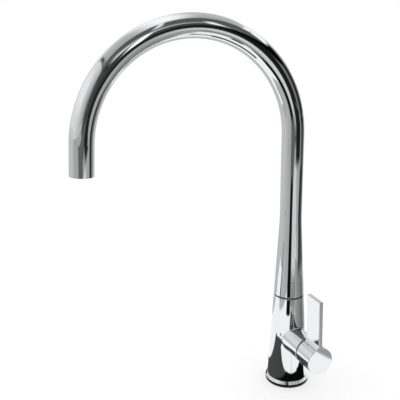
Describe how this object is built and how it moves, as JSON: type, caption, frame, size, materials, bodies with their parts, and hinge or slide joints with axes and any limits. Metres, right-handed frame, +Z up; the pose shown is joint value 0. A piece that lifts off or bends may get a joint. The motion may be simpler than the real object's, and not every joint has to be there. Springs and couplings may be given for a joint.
{
  "type": "kitchen mixer tap",
  "caption": "Deck-mounted kitchen tap for hot, cold and filtered water, with a tall swivelling gooseneck spout and one side lever.",
  "frame": {"origin": "centre of the deck hole, on the deck's top surface, which is the seal's underside", "axes": "+Z up along the column; the spout reaches towards -Y, the user; the lever arm points towards +X"},
  "size_m": [0.0986, 0.2745, 0.4333],
  "materials": {
    "chrome_plate": "polished chrome plate on brass",
    "bare_brass": "machined",
    "black_rubber": "moulded",
    "red_silicone": "moulded",
    "dark_acetal": "moulded",
    "white_acetal": "moulded",
    "alumina": "lapped ceramic",
    "stainless": "machined",
    "polyethylene": "extruded"
  },
  "bodies": {
    "body": {"base_seal": "black_rubber", "base_ring": "chrome_plate", "tap_body": "chrome_plate", "swivel_spigot": "bare_brass", "spigot_o_rings": "black_rubber", "seam_glide_ring": "dark_acetal", "cartridge_port_seal": "red_silicone", "cartridge_base": "white_acetal", "cartridge_fixed_disc": "alumina", "cartridge_housing": "white_acetal", "cartridge_nut": "bare_brass", "hub_guide_ring": "dark_acetal"},
    "lever": {"lever_handle": "chrome_plate", "lever_screw": "stainless", "lever_screw_cap": "dark_acetal", "cartridge_stem": "bare_brass", "stem_o_ring": "black_rubber", "cartridge_moving_disc": "alumina"},
    "spout": {"spout_tube": "chrome_plate", "swivel_sleeve": "white_acetal", "spout_retaining_screw": "stainless", "filtered_water_tube": "polyethylene", "tube_connector": "bare_brass", "connector_o_ring": "black_rubber", "outlet_insert": "bare_brass", "aerator_housing": "chrome_plate", "aerator_core": "white_acetal", "aerator_screen": "stainless", "aerator_gasket": "black_rubber", "filtered_nozzle": "white_acetal"}
  },
  "joints": [
    {"name": "spout_swivel", "type": "hinge", "parent": "body", "child": "spout", "pos_m": [0, 0, 0.1123], "axis": [0, 0, 1], "continuous": true},
    {"name": "lever_turn", "type": "hinge", "parent": "body", "child": "lever", "pos_m": [0.0474, 0, 0.0597], "axis": [1, 0, 0], "range_deg": [-90, 90]}
  ]
}
